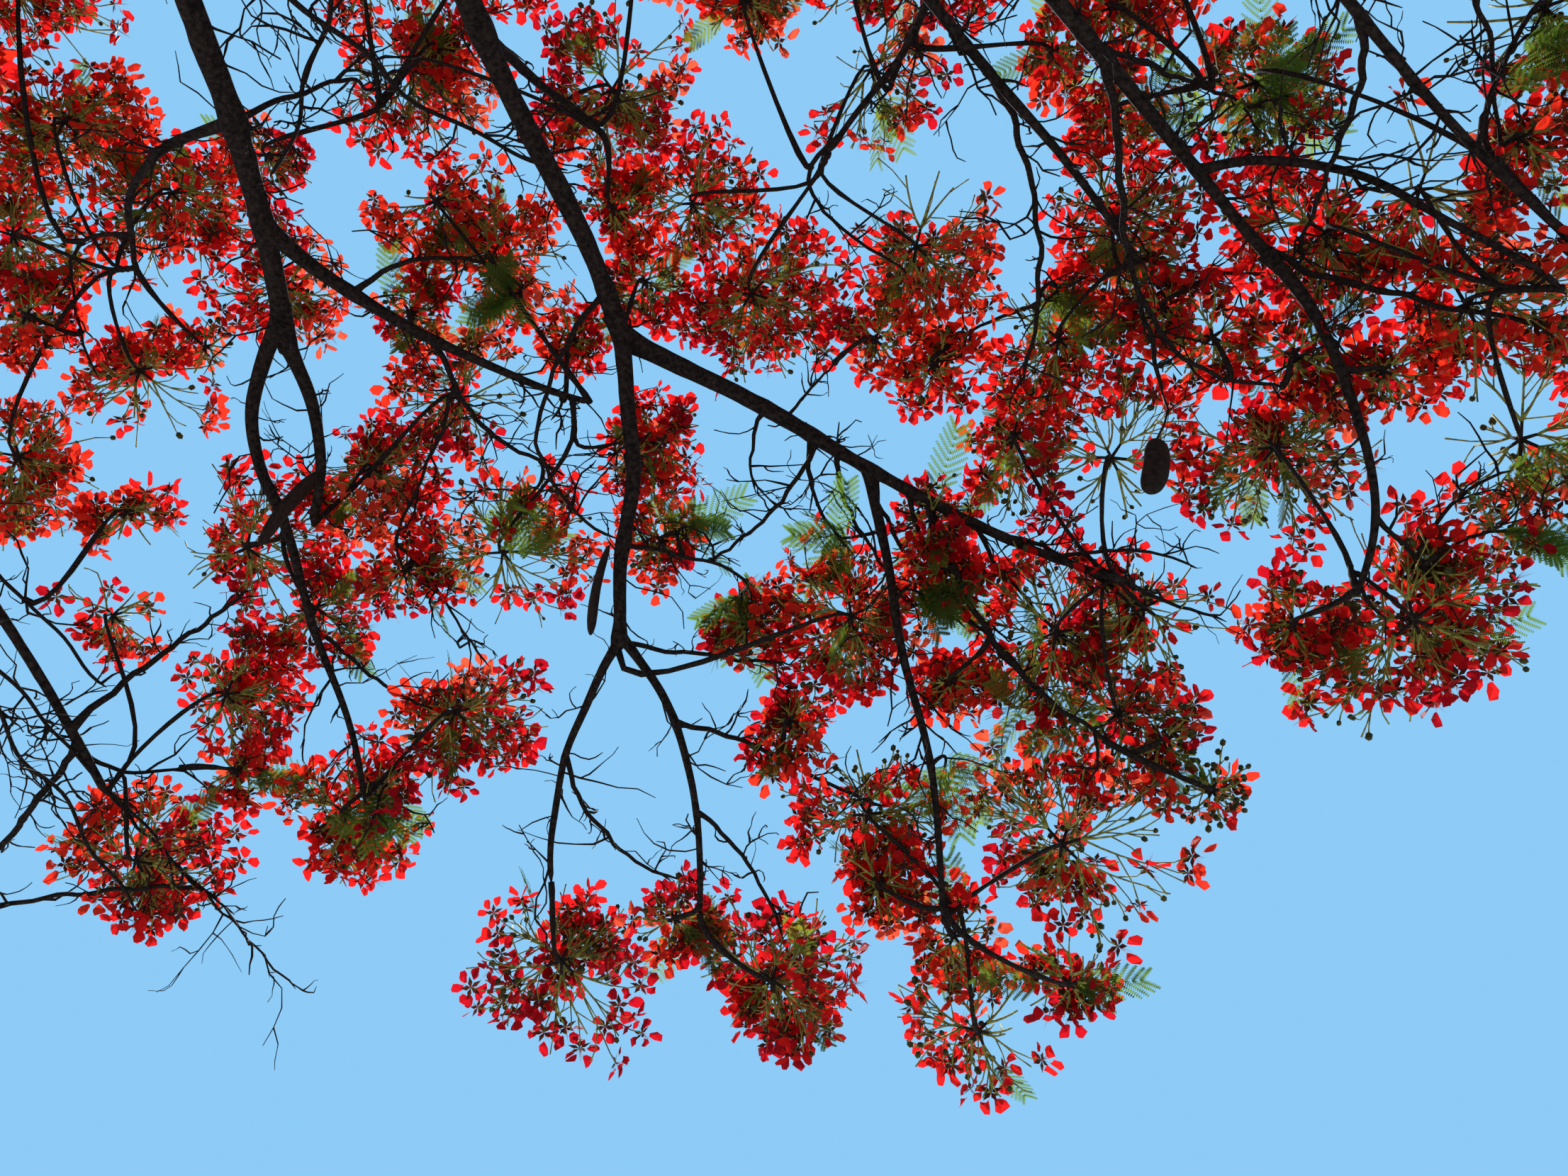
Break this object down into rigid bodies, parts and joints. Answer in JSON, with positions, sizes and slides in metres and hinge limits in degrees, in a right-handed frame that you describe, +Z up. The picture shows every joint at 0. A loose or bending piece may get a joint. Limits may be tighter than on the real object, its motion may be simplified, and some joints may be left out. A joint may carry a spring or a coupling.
{
  "type": "flame tree",
  "caption": "Royal poinciana tree in full bloom: flared trunk, arching boughs and a wide umbrella crown of red blossom.",
  "frame": {"origin": "middle of the flat cut under the trunk", "axes": "+Z up along the trunk; +Y level, towards the side of the crown that the picture shows"},
  "size_m": [10.2996, 10.5211, 7.2231],
  "materials": {
    "bark": "matt brown-grey bark with fine cracks, pores and pale lichen patches",
    "blossom": "soft orange-red petals that let the light through, on thin olive and brown stalks",
    "foliage": "matt mid-green feathery leaflets, yellower where the light comes through"
  },
  "bodies": {
    "root": {"blossom_crown_1": "blossom", "blossom_crown_2": "blossom", "blossom_crown_3": "blossom", "blossom_far_left": "blossom", "blossom_inner": "blossom", "blossom_left": "blossom", "blossom_left_low": "blossom", "blossom_left_middle": "blossom", "blossom_left_outer": "blossom", "blossom_long": "blossom", "blossom_low": "blossom", "blossom_right_back": "blossom", "blossom_right_inner": "blossom", "blossom_right_low": "blossom", "blossom_right_side": "blossom", "blossom_rim_1": "blossom", "blossom_rim_2": "blossom", "blossom_rim_3": "blossom", "blossom_rim_4": "blossom", "blossom_rim_5": "blossom", "blossom_rim_6": "blossom", "blossom_rim_7": "blossom", "blossom_rim_8": "blossom", "blossom_rim_left": "blossom", "blossom_rim_middle": "blossom", "blossom_rim_right": "blossom", "blossom_ring": "blossom", "blossom_ring_low": "blossom", "blossom_top": "blossom", "bough_east": "bark", "bough_east_crown": "bark", "bough_east_side": "bark", "bough_left": "bark", "bough_middle": "bark", "bough_north": "bark", "bough_right": "bark", "bough_south": "bark", "bough_south_crown": "bark", "bough_south_side": "bark", "bough_west": "bark", "bough_west_crown": "bark", "bough_west_side": "bark", "leaves_corner": "foliage", "limb_corner": "bark", "limb_down": "bark", "limb_down_left": "bark", "limb_down_right": "bark", "limb_left_bent": "bark", "limb_left_outer": "bark", "limb_left_side": "bark", "limb_left_straight": "bark", "limb_long": "bark", "limb_long_low": "bark", "limb_middle_side": "bark", "limb_right_back": "bark", "limb_right_inner": "bark", "limb_right_low": "bark", "limb_right_side": "bark", "limb_ring": "bark", "trunk": "bark"}
  },
  "joints": []
}
